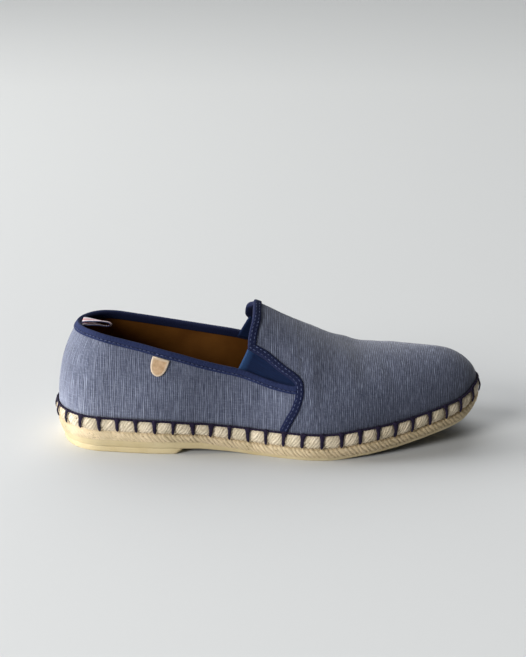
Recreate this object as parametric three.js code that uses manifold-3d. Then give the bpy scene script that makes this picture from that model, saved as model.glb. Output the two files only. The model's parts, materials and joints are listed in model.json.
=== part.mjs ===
import * as THREE from 'three';
import { mergeVertices } from 'three/addons/utils/BufferGeometryUtils.js';
import Module from 'manifold-3d';

const wasm = await Module();
wasm.setup();

// A right slip-on espadrille, in millimetres.
// X runs from the heel to the toe, Y from the outer side to the inner side, Z up.

// Sizes of the foot form
const footLength = 289;        // canvas outline where it meets the rope
const ballWidth = 102;         // same outline, full width in the tables' shares
const tipShift = 6.6;          // toe tip moved towards the inner side
const heelRound = 0.1176 * footLength;   // length over which the heel end closes
const toeRound = 0.2076 * footLength;    // length over which the toe end closes
const endPower = 2.3;          // how square both ends are in plan: 2 is an ellipse
const bendFrom = 0.3;          // share of footLength where the outline starts to bend
const instepHeight = 93;       // top of the vamp at the throat, above the floor
const heelHeight = 82;         // top of the back, above the floor
const crownHeel = 0.2076 * footLength;   // where the form's ridge starts, from the heel
const crownToe = 0.8754 * footLength;    // where the form's ridge ends, from the heel

// Sizes of the sole
const heelLift = 4.4;          // heel block under the rubber layer
const toeSpring = 21.5;        // underside at the tip, above the floor
const rubberThickness = 4.9;   // rubber layer at the heel
const ropeHeight = 15;         // two braided courses
const braidProud = 2.4;        // how far the rope stands out past the canvas
const breastAt = 0.2855 * footLength;    // front bottom edge of the heel block
const breastSlope = 5.3;       // how far the breast leans forward over its height
const heelRake = 2.7;           // how far the back of the sole draws in at the floor
const insoleThickness = 3;
const insoleBevel = 1;         // along its upper edge

// Sizes of the upper
const wall = 1.8;              // canvas with its lining
const bindingWidth = 5.4;
const bindingThickness = 0.8;
const goreThickness = 1.2;
const goreHeight = 12.5;       // free rear edge of the elastic, measured upright
const goreSlant = 7.8;         // how far its free edge leans back over that height
const goreTuck = 4;            // elastic hidden behind the canvas edges
const throatAt = 0.47 * footLength;      // front edge of the opening, from the heel
const seamAt = 0.571 * footLength;       // middle of the side seam's binding at its top
const sideDrop = 4.6;          // how much lower the outer side's opening lies

// Sizes of the trimmings
const yarn = 2;                // blanket stitch yarn
const barThickness = 0.8;      // a stitch's yarn lying over the braid
const stitchPitch = 12.56;
const tagWidth = 11;
const tagLength = 12;
const tagThickness = 1.2;
const tagAt = 0.26 * footLength;         // middle of the tag, from the heel
const tapeWidth = 12;
const tapeThickness = 0.9;
const loopLength = 21;
const loopHeight = 3.1;        // the folded tape's loop, both layers
const loopSlot = 14.7;         // depth of the slot between its layers
const loopTail = 9;            // how far it reaches down the back, on either side

const gap = 0.3;               // clearance between neighbours

// Number of facets
const ribs = 30;
const levels = 10;
const yarnSides = 6;

// Half widths of the canvas outline, as shares of ballWidth, by share of footLength
const planRows = [
  { at: 0.00, outer: 0.322, inner: 0.322 },
  { at: 0.10, outer: 0.347, inner: 0.341 },
  { at: 0.25, outer: 0.394, inner: 0.343 },
  { at: 0.42, outer: 0.381, inner: 0.312 },
  { at: 0.60, outer: 0.511, inner: 0.425 },
  { at: 0.72, outer: 0.484, inner: 0.465 },
  { at: 0.85, outer: 0.380, inner: 0.415 },
  { at: 1.00, outer: 0.330, inner: 0.350 },
];

// The sole's side view: shares of heelLift, toeSpring, rubberThickness and ropeHeight
const soleRows = [
  { at: 0.000, lift: 1.00, spring: 0.000, rubber: 1.00, rope: 1.06 },
  { at: 0.100, lift: 1.00, spring: 0.000, rubber: 1.00, rope: 0.96 },
  { at: 0.250, lift: 1.00, spring: 0.000, rubber: 1.00, rope: 0.90 },
  { at: 0.335, lift: 0.82, spring: 0.000, rubber: 1.00, rope: 0.82 },
  { at: 0.400, lift: 0.36, spring: 0.000, rubber: 0.66, rope: 0.93 },
  { at: 0.480, lift: 0.00, spring: 0.000, rubber: 0.52, rope: 1.00 },
  { at: 0.640, lift: 0.00, spring: 0.000, rubber: 0.41, rope: 1.03 },
  { at: 0.710, lift: 0.00, spring: 0.080, rubber: 0.41, rope: 1.05 },
  { at: 0.800, lift: 0.00, spring: 0.225, rubber: 0.41, rope: 1.00 },
  { at: 0.900, lift: 0.00, spring: 0.500, rubber: 0.41, rope: 0.98 },
  { at: 0.955, lift: 0.00, spring: 0.660, rubber: 0.41, rope: 0.98 },
  { at: 1.000, lift: 0.00, spring: 1.000, rubber: 0.41, rope: 0.97 },
];

// Ridge line of the foot form: shares of heelHeight and instepHeight, and its
// shift to the inner side as a share of ballWidth
const crownRows = [
  { at: 0.207, heel: 1.28, instep: 0.000, shift: 0.000 },
  { at: 0.345, heel: 0.61, instep: 0.540, shift: 0.015 },
  { at: 0.469, heel: 0.00, instep: 1.010, shift: 0.030 },
  { at: 0.500, heel: 0.00, instep: 0.972, shift: 0.033 },
  { at: 0.530, heel: 0.00, instep: 0.922, shift: 0.035 },
  { at: 0.600, heel: 0.00, instep: 0.812, shift: 0.040 },
  { at: 0.670, heel: 0.00, instep: 0.710, shift: 0.045 },
  { at: 0.720, heel: 0.00, instep: 0.665, shift: 0.048 },
  { at: 0.780, heel: 0.00, instep: 0.657, shift: 0.050 },
  { at: 0.879, heel: 0.00, instep: 0.653, shift: 0.055 },
];

// How square the form's sections are, by share of footLength: 2 is an ellipse
const bulgeRows = [
  { at: 0.00, power: 2.12 },
  { at: 0.30, power: 2.35 },
  { at: 0.50, power: 2.20 },
  { at: 0.75, power: 2.15 },
  { at: 1.00, power: 1.95 },
];

// Upper edge of the quarters on the inner side: shares of heelHeight
const quarterRows = [
  { at: -0.10, height: 1.000, drop: 0.0 },
  { at: 0.05, height: 1.000, drop: 0.0 },
  { at: 0.09, height: 0.995, drop: 0.02 },
  { at: 0.125, height: 0.977, drop: 0.00 },
  { at: 0.195, height: 0.931, drop: 0.00 },
  { at: 0.285, height: 0.876, drop: 0.34 },
  { at: 0.355, height: 0.842, drop: 1.05 },
  { at: 0.410, height: 0.812, drop: 1.38 },
  { at: 0.460, height: 0.767, drop: 1.38 },
  { at: 0.515, height: 0.695, drop: 1.12 },
  { at: 0.553, height: 0.668, drop: 1.08 },
];

// Edge of the vamp over the elastic: x as a share of footLength, height above
// the quarter's edge as a share of goreHeight
const vampRows = [
  { at: 0.5600, above: 0.10 },
  { at: 0.5535, above: 0.24 },
  { at: 0.5220, above: 0.56 },
  { at: 0.4880, above: 0.91 },
  { at: 0.4530, above: 1.08 },
];

// Edge of the throat: share of the rise from the elastic to instepHeight, and
// how far behind throatAt on each side as a share of bindingWidth
const throatRows = [
  { rise: 0.26, outer: 0.84, inner: 1.30 },
  { rise: 0.54, outer: 0.58, inner: 1.22 },
  { rise: 0.72, outer: 0.32, inner: 0.98 },
  { rise: 0.86, outer: 0.22, inner: 0.34 },
  { rise: 0.95, outer: 0.20, inner: 0.20 },
  { rise: 2.50, outer: 0.20, inner: 0.20 },
];

// Middle line of the side seam's binding: down from the elastic's point to the
// rope, and back from seamAt as a share of bindingWidth
const seamRows = [
  { down: -0.10, back: 0.06 },
  { down: 0.00, back: 0.00 },
  { down: 0.16, back: -0.02 },
  { down: 0.43, back: 0.42 },
  { down: 0.66, back: 1.15 },
  { down: 0.92, back: 1.90 },
  { down: 1.30, back: 2.90 },
];

// Side of the rope from its top edge down: share of its height, share of braidProud
const braidRows = [
  { down: 0.00, out: 0.20 },
  { down: 0.10, out: 0.72 },
  { down: 0.25, out: 1.00 },
  { down: 0.40, out: 0.86 },
  { down: 0.53, out: 0.40 },
  { down: 0.64, out: 0.78 },
  { down: 0.80, out: 0.86 },
  { down: 1.00, out: 0.38 },
];

// Back of a stitch's bar, which follows the upper braid: same shares
const barRows = [
  { down: -0.09, out: 0.28 },
  { down: 0.10, out: 0.76 },
  { down: 0.25, out: 1.02 },
  { down: 0.54, out: 0.76 },
];

// Side of the rubber layer from its top edge down: share of its thickness, share
// of braidProud
const rubberRows = [
  { down: 0.00, out: 0.38 },
  { down: 0.20, out: 0.36 },
  { down: 0.54, out: 0.28 },
  { down: 0.84, out: 0.14 },
  { down: 1.00, out: -0.20 },
];

// Outline of the tag: shares of tagWidth along the binding and tagLength down
const tagRows = [
  { along: -0.50, down: 0.00 },
  { along: -0.52, down: 0.30 },
  { along: -0.47, down: 0.60 },
  { along: -0.29, down: 0.89 },
  { along: -0.02, down: 1.00 },
  { along: 0.23, down: 0.89 },
  { along: 0.41, down: 0.62 },
  { along: 0.50, down: 0.00 },
];

// A smooth curve through a table's rows: a taut one never swings past them, a
// free one is rounder
function through(rows, across, value, taut = true) {
  const x = rows.map((row) => row[across]);
  const y = rows.map((row) => row[value]);
  const slope = x.slice(1).map((right, i) => (y[i + 1] - y[i]) / (right - x[i]));
  const tangent = y.map((_, i) => {
    if (i === 0) return slope[0];
    if (i === slope.length) return slope[slope.length - 1];
    if (!taut) return (y[i + 1] - y[i - 1]) / (x[i + 1] - x[i - 1]);
    if (slope[i - 1] * slope[i] <= 0) return 0;
    return 2 / (1 / slope[i - 1] + 1 / slope[i]);
  });
  return (at) => {
    const place = THREE.MathUtils.clamp(at, x[0], x[x.length - 1]);
    let i = 0;
    while (i < slope.length - 1 && place > x[i + 1]) i += 1;
    const span = x[i + 1] - x[i];
    const t = (place - x[i]) / span;
    const rise = tangent[i] * span;
    const run = tangent[i + 1] * span;
    const bend = 3 * (y[i + 1] - y[i]) - 2 * rise - run;
    const twist = 2 * (y[i] - y[i + 1]) + rise + run;
    return y[i] + rise * t + bend * t * t + twist * t * t * t;
  };
}

const outerHalf = through(planRows, 'at', 'outer', false);
const innerHalf = through(planRows, 'at', 'inner', false);
const liftShare = through(soleRows, 'at', 'lift');
const springShare = through(soleRows, 'at', 'spring');
const rubberShare = through(soleRows, 'at', 'rubber');
const ropeShare = through(soleRows, 'at', 'rope');
const crownHeelShare = through(crownRows, 'at', 'heel');
const crownInstepShare = through(crownRows, 'at', 'instep');
const crownShift = through(crownRows, 'at', 'shift');
const bulge = through(bulgeRows, 'at', 'power');
const quarterHeight = through(quarterRows, 'at', 'height');
const quarterDrop = through(quarterRows, 'at', 'drop');

// Heights along the sole, x measured from the heel
const underside = (x) => heelLift * liftShare(x / footLength) + toeSpring * springShare(x / footLength);
const rubberTop = (x) => underside(x) + rubberThickness * rubberShare(x / footLength);
const ropeTop = (x) => rubberTop(x) + gap + ropeHeight * ropeShare(x / footLength);

// Canvas outline in plan: turn runs from 0 at the heel to pi at the toe on the
// outer side, and to minus pi on the inner side
function outline(turn) {
  const x = footLength * (1 - Math.cos(turn)) / 2;
  const share = x / footLength;
  const side = turn % (2 * Math.PI) > 0 ? -1 : 1;
  const half = ballWidth * (side < 0 ? outerHalf(share) : innerHalf(share));
  const fromHeel = Math.max(0, (heelRound - x) / heelRound);
  const fromToe = Math.max(0, (x - footLength + toeRound) / toeRound);
  const closing = Math.sqrt(Math.max(0, (1 - fromHeel ** endPower) * (1 - fromToe ** endPower)));
  const middle = tipShift * Math.max(0, (share - bendFrom) / (1 - bendFrom)) ** 1.5;
  return new THREE.Vector2(x, middle + side * half * closing);
}

// Same outline moved outwards, square to itself
function outlineAt(turn, out) {
  const step = 0.01;
  const along = outline(wrap(turn + step)).sub(outline(wrap(turn - step)));
  const place = outline(turn);
  return new THREE.Vector2(place.x + along.y * out / along.length(), place.y - along.x * out / along.length());
}

// Brings a turn back between minus pi and pi
function wrap(turn) {
  if (turn > Math.PI) return turn - 2 * Math.PI;
  if (turn <= -Math.PI) return turn + 2 * Math.PI;
  return turn;
}

const turns = Array.from({ length: 2 * ribs }, (_, i) => wrap(Math.PI * i / ribs));

// Height of the ridge and its place across the shoe, x measured from the heel
function ridge(x) {
  const at = x / footLength;
  const height = heelHeight * crownHeelShare(at) + instepHeight * crownInstepShare(at);
  return new THREE.Vector3(x, ballWidth * crownShift(at), height);
}

// Where the rib that starts at a turn of the outline meets the ridge
const ridgeFoot = (turn) => crownHeel + (crownToe - crownHeel) * outline(turn).x / footLength;

// Point of the foot form: climb runs from 0 at the rope to half pi at the ridge
function formPoint(turn, climb) {
  const foot = outline(turn);
  const top = ridge(ridgeFoot(turn));
  const curl = 2 / bulge(foot.x / footLength);
  const inwards = 1 - Math.cos(climb) ** curl;
  const upwards = Math.sin(climb) ** curl;
  const low = ropeTop(foot.x) + gap;
  return new THREE.Vector3(
    foot.x + (top.x - foot.x) * inwards,
    foot.y + (top.y - foot.y) * inwards,
    low + (top.z - low) * upwards,
  );
}

// Same point moved outwards, square to the form
function formAt(turn, climb, out) {
  const step = 0.01;
  const along = formPoint(wrap(turn + step), climb).sub(formPoint(wrap(turn - step), climb));
  const up = formPoint(turn, climb + step).sub(formPoint(turn, Math.max(0, climb - step)));
  return formPoint(turn, climb).addScaledVector(along.cross(up).normalize(), out);
}

// Ridge point moved outwards, square to the ridge line
function ridgeAt(turn, out) {
  const x = ridgeFoot(turn);
  const along = ridge(x + 1).sub(ridge(x - 1));
  const across = new THREE.Vector3(-along.y, along.x, 0);
  return ridge(x).addScaledVector(along.cross(across).normalize(), out);
}

// Closed solid from rings of points stacked upwards, each as long as turns; the
// top ends in a line of points from heel to toe, or in a level cap
function stack(rings, line = null) {
  const count = turns.length;
  const points = rings.flat().concat(line ?? []);
  const faces = [];
  const face = (...corners) => {
    if (new Set(corners).size === corners.length) faces.push(...corners);
  };
  const quad = (a, b, c, d) => {
    face(a, b, c);
    face(a, c, d);
  };
  rings.slice(1).forEach((_, ring) => {
    for (let i = 0; i < count; i += 1) {
      const next = (i + 1) % count;
      const low = ring * count;
      quad(low + i, low + next, low + count + next, low + count + i);
    }
  });
  const last = (rings.length - 1) * count;
  const lineIndex = (i) => last + count + Math.min(i, count - i);
  for (let i = 0; line && i < count; i += 1) {
    quad(last + i, last + (i + 1) % count, lineIndex(i + 1), lineIndex(i));
  }
  for (let i = 0; i < ribs; i += 1) {
    const mirror = (count - i) % count;
    const nextMirror = count - i - 1;
    quad(i, mirror, nextMirror, i + 1);
    if (!line) quad(last + mirror, last + i, last + i + 1, last + nextMirror);
  }
  return solidFrom(points, faces);
}

function solidFrom(points, faces) {
  const mesh = new wasm.Mesh({
    numProp: 3,
    vertProperties: new Float32Array(points.flatMap((point) => point.toArray())),
    triVerts: new Uint32Array(faces),
  });
  return new wasm.Manifold(mesh);
}

// Foot form with its skin moved outwards, and its underside lowered
function form(out, drop = 0) {
  const climbs = Array.from({ length: levels }, (_, j) => Math.PI * j / levels / 2);
  const rings = climbs.map((climb) => turns.map((turn) => formAt(turn, climb, out)));
  if (drop > 0) {
    const sunk = rings[0].map((point) => point.clone().setZ(point.z - drop));
    rings.unshift(sunk);
  }
  return stack(rings, turns.slice(0, ribs + 1).map((turn) => ridgeAt(turn, out)));
}

// How far the back of the sole draws in at a height
function rake(x, z) {
  const rearness = Math.max(0, 1 - x / heelRound) ** 2;
  return heelRake * rearness * Math.max(0, 1 - z / ropeTop(x));
}

// A ring of the sole: the outline moved outwards, at a height given along x
function soleRing(out, height) {
  return turns.map((turn) => {
    const x = outline(turn).x;
    const z = height(x);
    const place = outlineAt(turn, out - rake(x, z));
    return new THREE.Vector3(place.x, place.y, z);
  });
}

// Solid that fills a side view outline of [x, z] points between two values of Y
function sidePrism(points, fromY, toY) {
  const shape = new THREE.Shape(points.map(([x, z]) => new THREE.Vector2(x, z)));
  const geometry = new THREE.ExtrudeGeometry(shape, { depth: toY - fromY, bevelEnabled: false });
  geometry.rotateX(Math.PI / 2).translate(0, toY, 0);
  geometry.deleteAttribute('normal');
  geometry.deleteAttribute('uv');
  const merged = mergeVertices(geometry);
  const { position } = merged.attributes;
  const corners = Array.from({ length: position.count }, (_, i) => (
    new THREE.Vector3().fromBufferAttribute(position, i)
  ));
  return solidFrom(corners, merged.index.array);
}

// An open path moved to its right by a distance, with mitred corners
function toRight(path, distance) {
  return path.map(([x, z], i) => {
    const before = path[Math.max(i - 1, 0)];
    const after = path[Math.min(i + 1, path.length - 1)];
    const arrive = new THREE.Vector2(x - before[0], z - before[1]).normalize();
    const leave = new THREE.Vector2(after[0] - x, after[1] - z).normalize();
    const mean = arrive.clone().add(leave).normalize();
    const mitre = distance / Math.max(0.4, mean.dot(i > 0 ? arrive : leave));
    return [x + mean.y * mitre, z - mean.x * mitre];
  });
}

// The two sides of the shoe, a little past the middle plane
const reach = ballWidth;
const overMiddle = 0.5;
const sides = [
  { name: 'outer', low: -reach, high: overMiddle, drop: sideDrop },
  { name: 'inner', low: -overMiddle, high: reach, drop: 0 },
];

// The finished edges of one side, in the side view, canvas to their right
function edges(side) {
  const quarterZ = (x) => (
    heelHeight * quarterHeight(x / footLength) - side.drop * quarterDrop(x / footLength)
  );
  const quarter = quarterRows.map(({ at }) => [at * footLength, quarterZ(at * footLength)]);
  const vamp = vampRows.map(({ at, above }) => {
    const x = at * footLength;
    return [x, quarterZ(x) + above * goreHeight];
  });
  const corner = vamp[vamp.length - 1];
  const throat = throatRows.map((row) => (
    [throatAt - row[side.name] * bindingWidth, corner[1] + row.rise * (instepHeight - corner[1])]
  ));
  return { quarter, vamp: vamp.concat(throat), corner, nose: vamp[0], quarterZ };
}

// Side view area inside the opening, its edge moved into the canvas by a distance
function openingArea(side, distance) {
  const { quarter, vamp } = edges(side);
  const edge = toRight(quarter.concat(vamp), distance);
  const above = [[throatAt + distance, 3 * heelHeight], [edge[0][0], 3 * heelHeight]];
  return edge.concat(above);
}

// Side view area of a band that lies on the canvas along a path
function bandArea(path, from, to) {
  return toRight(path, from).concat(toRight(path, to).reverse());
}

// The seam binding's middle line, from over the elastic's point to below the rope
function seamPath(side) {
  const { nose } = edges(side);
  const depth = nose[1] - ropeTop(nose[0]);
  return seamRows.map(({ down, back }) => [seamAt - back * bindingWidth, nose[1] - down * depth]);
}

const join = (solids) => solids.reduce((whole, solid) => whole.add(solid));
const onSides = (area) => join(sides.map((side) => sidePrism(area(side), side.low, side.high)));

// Forms that the upper's pieces are cut between
const bindingTop = gap + bindingThickness;
const bindingSkin = form(bindingTop);
const outerClear = form(gap);
const canvasSkin = form(0);
const liningSkin = form(-wall, ropeHeight);
const innerClear = form(-wall - gap, ropeHeight);
const innerBandSkin = form(-wall - bindingTop, ropeHeight);

function makeUpper() {
  const opening = onSides((side) => openingArea(side, bindingTop));
  return canvasSkin.subtract(liningSkin).subtract(opening);
}

// The canvas with its clearance, which the bindings wrap
const wrapped = outerClear.subtract(innerClear)
  .subtract(onSides((side) => openingArea(side, bindingThickness)));

// Band along the throat and over the elastic, and down the side seams
function vampBandAreas(side, more) {
  const { vamp } = edges(side);
  const half = bindingWidth / 2 + more;
  return [bandArea(vamp, -more, bindingWidth + more), bandArea(seamPath(side), -half, half)];
}

const vampBand = (more) => join([0, 1].map((i) => onSides((side) => vampBandAreas(side, more)[i])));

// Keeps what lies above the elastic's hidden part, or behind it
const aboveGore = (side) => {
  const { corner } = edges(side);
  const low = corner[1] + goreTuck + gap;
  return [[0, low], [footLength, low], [footLength, low + reach], [0, low + reach]];
};
const behindGore = (side) => {
  const { corner } = edges(side);
  const front = corner[0] - goreHeight;
  return [[-reach, 0], [front, 0], [front, reach], [-reach, reach]];
};

// A tape folded over the canvas edge: its inner leg stays off the elastic
function foldedTape(band, legArea) {
  const outerLeg = bindingSkin.subtract(liningSkin).intersect(band);
  const bothLegs = bindingSkin.subtract(innerBandSkin).intersect(band).intersect(onSides(legArea));
  return outerLeg.add(bothLegs).subtract(wrapped);
}

// The bindings of the side seams end over the yarn
function makeVampBinding() {
  const yarnZone = stack([
    soleRing(bindingWidth, () => 0),
    soleRing(bindingWidth, (x) => ropeTop(x) + yarn + 2 * gap),
  ]);
  return foldedTape(vampBand(0), aboveGore).subtract(yarnZone);
}

function makeCollarBinding() {
  const band = onSides((side) => bandArea(edges(side).quarter, 0, bindingWidth));
  return foldedTape(band, behindGore).subtract(vampBand(gap));
}

// Elastic behind the side notch
function makeGore(side) {
  const { quarter, vamp, corner, quarterZ } = edges(side);
  const rear = corner[0] - goreSlant;
  const lower = [[rear, quarterZ(rear)]].concat(quarter.filter(([x]) => x > rear + 1));
  const upper = vamp.slice(0, vampRows.length);
  const area = toRight(lower.concat(upper), goreTuck);
  const sheet = innerClear.subtract(form(-wall - gap - goreThickness, ropeHeight));
  return sheet.intersect(sidePrism(area, side.low, side.high));
}

// Leather tag hanging from under the collar binding on the outer side
function makeTag() {
  const [side] = sides;
  const { quarterZ } = edges(side);
  const slope = quarterZ(tagAt + 1) - quarterZ(tagAt);
  const along = new THREE.Vector2(1, slope).normalize();
  const hang = bindingWidth + 2 * gap;
  const area = tagRows.map(({ along: across, down }) => {
    const sideways = across * tagWidth;
    const below = hang + down * tagLength;
    return [
      tagAt + along.x * sideways + along.y * below,
      quarterZ(tagAt) + along.y * sideways - along.x * below,
    ];
  });
  const sheet = form(gap + tagThickness).subtract(outerClear);
  return sheet.intersect(sidePrism(area, side.low, 0));
}

// Folded tape at the back, fallen forward into the shoe, with its tail sewn inside
function makePullLoop() {
  const top = heelHeight + tapeThickness / 2;
  const low = top - loopHeight;
  const back = crownHeel / 5;
  const front = back + (bindingTop + wall) + loopLength + 2 * tapeThickness;
  const nose = loopHeight / 2;
  const tail = heelHeight - loopTail;
  const outside = [
    [0, tail], [back + 2 * tapeThickness, tail], [back + 4 * tapeThickness + wall, low],
    [front - nose, low - tapeThickness], [front - nose / 3, low],
    [front, top - nose - tapeThickness], [front - nose / 3, top - tapeThickness],
    [front - nose, top - tapeThickness / 2], [back + loopLength / 2, top],
    [back, top], [0, top],
  ];
  const rear = front - loopSlot;
  const slot = [
    [rear, low + tapeThickness], [front - nose, low + tapeThickness / 3],
    [front - tapeThickness, low + nose / 2], [front - nose, top - 1.5 * tapeThickness],
    [rear, top - tapeThickness],
  ];
  const half = tapeWidth / 2;
  return sidePrism(outside, -half, half)
    .subtract(sidePrism(slot, -tapeWidth, tapeWidth))
    .intersect(form(-wall - bindingTop - gap, ropeHeight));
}

function makeRope() {
  const rows = [...braidRows].reverse();
  return stack(rows.map(({ down, out }) => (
    soleRing(out * braidProud, (x) => ropeTop(x) - down * (ropeTop(x) - rubberTop(x) - gap))
  )));
}

function makeOutsole() {
  const rows = [...rubberRows].reverse();
  const layer = stack(rows.map(({ down, out }) => (
    soleRing(out * braidProud, (x) => rubberTop(x) - down * (rubberTop(x) - underside(x)))
  )));
  const edge = rubberRows[rubberRows.length - 1].out * braidProud - 0.05;
  const block = stack([
    soleRing(edge - gap, () => 0),
    soleRing(edge, (x) => underside(x) + rubberThickness / 4),
  ]);
  const breast = sidePrism([
    [-reach, -heelLift], [breastAt - breastSlope, -heelLift],
    [breastAt + breastSlope, heelLift], [breastAt + breastSlope, 2 * heelLift],
    [-reach, 2 * heelLift],
  ], -reach, reach);
  return layer.add(block.intersect(breast));
}

function makeInsole() {
  const edge = -wall - 2 * gap;
  return stack([
    soleRing(edge, (x) => ropeTop(x) + gap),
    soleRing(edge, (x) => ropeTop(x) + gap + insoleThickness - insoleBevel),
    soleRing(edge - insoleBevel, (x) => ropeTop(x) + gap + insoleThickness),
  ]);
}

// Turns of the outline that lie at equal steps along it, one for each stitch
function stitchTurns() {
  const samples = 24 * ribs;
  const turnAt = (i) => wrap(2 * Math.PI * i / samples);
  const lengths = [0];
  for (let i = 0; i < samples; i += 1) {
    lengths.push(lengths[i] + outline(turnAt(i)).distanceTo(outline(turnAt(i + 1))));
  }
  const whole = lengths[samples];
  const count = Math.round(whole / stitchPitch);
  return Array.from({ length: count }, (_, k) => {
    const target = whole * (k + 1) / count;
    const i = lengths.findIndex((length) => length >= target - gap);
    return turnAt(i - (lengths[i] - target) / (lengths[i] - lengths[i - 1]));
  });
}

// Blanket stitch: a yarn round the foot of the canvas with bars over the upper braid
function makeBlanketStitch() {
  const radius = yarn / 2;
  const count = turns.length;
  const points = turns.flatMap((turn) => Array.from({ length: yarnSides }, (_, k) => {
    const angle = 2 * Math.PI * k / yarnSides;
    const place = outlineAt(turn, gap + radius + radius * Math.cos(angle));
    const z = ropeTop(outline(turn).x) + gap + radius + radius * Math.sin(angle);
    return new THREE.Vector3(place.x, place.y, z);
  }));
  const faces = [];
  for (let i = 0; i < count; i += 1) {
    for (let k = 0; k < yarnSides; k += 1) {
      const a = i * yarnSides + k;
      const b = ((i + 1) % count) * yarnSides + k;
      const a2 = i * yarnSides + (k + 1) % yarnSides;
      const b2 = ((i + 1) % count) * yarnSides + (k + 1) % yarnSides;
      faces.push(a, b, b2, a, b2, a2);
    }
  }
  return stitchTurns().reduce((whole, turn) => whole.add(stitchBar(turn)), solidFrom(points, faces));
}

function stitchBar(turn) {
  const side = outline(wrap(turn + 0.01)).sub(outline(wrap(turn - 0.01))).setLength(yarn / 2);
  const { x } = outline(turn);
  const height = ropeHeight * ropeShare(x / footLength);
  const points = barRows.flatMap(({ down, out: share }) => {
    const z = ropeTop(x) - down * height;
    const skin = share * braidProud - rake(x, z) + 2 * gap;
    const face = skin + barThickness;
    return [[skin, -1], [skin, 1], [face, 1], [face, -1]].map(([out, end]) => {
      const place = outlineAt(turn, out).addScaledVector(side, end);
      return new THREE.Vector3(place.x, place.y, z);
    });
  });
  const faces = [0, 2, 1, 0, 3, 2];
  barRows.slice(1).forEach((_, ring) => {
    for (let k = 0; k < 4; k += 1) {
      const a = ring * 4 + k;
      const b = ring * 4 + (k + 1) % 4;
      faces.push(a, b, b + 4, a, b + 4, a + 4);
    }
  });
  const last = (barRows.length - 1) * 4;
  faces.push(last, last + 1, last + 2, last, last + 2, last + 3);
  return solidFrom(points, faces);
}

const canvasLook = { color: 0x68718a, roughness: 0.95, metalness: 0 };
const bindingLook = { color: 0x28335e, roughness: 0.9, metalness: 0 };
const elasticLook = { color: 0x0d2c57, roughness: 0.85, metalness: 0 };
const ropeLook = { color: 0xd2c29a, roughness: 1, metalness: 0 };
const rubberLook = { color: 0xcbbd86, roughness: 0.7, metalness: 0 };
const leatherLook = { color: 0x8a5a30, roughness: 0.6, metalness: 0 };
const tagLook = { color: 0xd0b08c, roughness: 0.6, metalness: 0 };
const yarnLook = { color: 0x1d1930, roughness: 0.95, metalness: 0 };

const shoe = new THREE.Group();

function addPiece(name, solid, look) {
  const { vertProperties, triVerts } = solid.getMesh();
  const geometry = new THREE.BufferGeometry();
  geometry.setAttribute('position', new THREE.BufferAttribute(vertProperties, 3));
  geometry.setIndex(new THREE.BufferAttribute(triVerts, 1));
  geometry.computeVertexNormals();
  const mesh = new THREE.Mesh(geometry, new THREE.MeshStandardMaterial(look));
  mesh.name = name;
  shoe.add(mesh);
}

addPiece('outsole', makeOutsole(), rubberLook);
addPiece('jute_sole', makeRope(), ropeLook);
addPiece('insole', makeInsole(), leatherLook);
addPiece('upper', makeUpper(), canvasLook);
addPiece('gore_lateral', makeGore(sides[0]), elasticLook);
addPiece('gore_medial', makeGore(sides[1]), elasticLook);
addPiece('collar_binding', makeCollarBinding(), bindingLook);
addPiece('vamp_binding', makeVampBinding(), bindingLook);
addPiece('blanket_stitch', makeBlanketStitch(), yarnLook);
addPiece('pull_loop', makePullLoop(), bindingLook);
addPiece('side_tag', makeTag(), tagLook);

// The origin is under the middle of the whole shoe, on the floor
const middle = new THREE.Box3().setFromObject(shoe).getCenter(new THREE.Vector3());
shoe.position.set(-middle.x, -middle.y, 0);

export default shoe;
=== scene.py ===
"""Look of a right slip-on espadrille: canvas, bindings, braided jute, rubber and trimmings.

Lengths are millimetres from the heel end of the canvas; meshes are made in metres.
X runs from heel to toe, Y from the outer to the inner side, Z up.
"""
import json
from math import acos, cos, exp, pi, radians, sin

import bmesh
import bpy
import numpy as np
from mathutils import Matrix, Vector

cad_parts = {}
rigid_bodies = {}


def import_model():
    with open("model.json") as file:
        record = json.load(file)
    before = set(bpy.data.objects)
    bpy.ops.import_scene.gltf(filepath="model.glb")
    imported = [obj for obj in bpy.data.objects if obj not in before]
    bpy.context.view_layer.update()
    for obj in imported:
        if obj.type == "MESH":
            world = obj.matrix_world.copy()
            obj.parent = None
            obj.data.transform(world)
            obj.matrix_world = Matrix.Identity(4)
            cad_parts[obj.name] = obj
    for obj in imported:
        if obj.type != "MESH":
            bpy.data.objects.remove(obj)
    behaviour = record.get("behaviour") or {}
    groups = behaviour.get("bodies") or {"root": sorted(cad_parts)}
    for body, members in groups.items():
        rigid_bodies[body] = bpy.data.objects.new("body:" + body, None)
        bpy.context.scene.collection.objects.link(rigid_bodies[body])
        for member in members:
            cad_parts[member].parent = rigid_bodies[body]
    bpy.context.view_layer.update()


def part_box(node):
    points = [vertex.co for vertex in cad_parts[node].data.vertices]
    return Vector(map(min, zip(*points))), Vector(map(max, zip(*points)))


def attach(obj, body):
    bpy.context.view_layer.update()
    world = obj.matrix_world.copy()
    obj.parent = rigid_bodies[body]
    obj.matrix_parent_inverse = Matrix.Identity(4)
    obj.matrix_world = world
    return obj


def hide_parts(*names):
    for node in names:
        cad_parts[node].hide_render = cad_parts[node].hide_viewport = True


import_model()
join = np.concatenate

# Sizes of the foot form
FOOT = 289.0
BALL = 102.0
TIP_SHIFT = 6.6
HEEL_ROUND = 0.1176 * FOOT
TOE_ROUND = 0.2076 * FOOT
END_POWER = 2.3
BEND_FROM = 0.3
INSTEP_HEIGHT = 93.0
HEEL_HEIGHT = 82.0
CROWN_HEEL = 0.2076 * FOOT
CROWN_TOE = 0.8754 * FOOT

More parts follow.
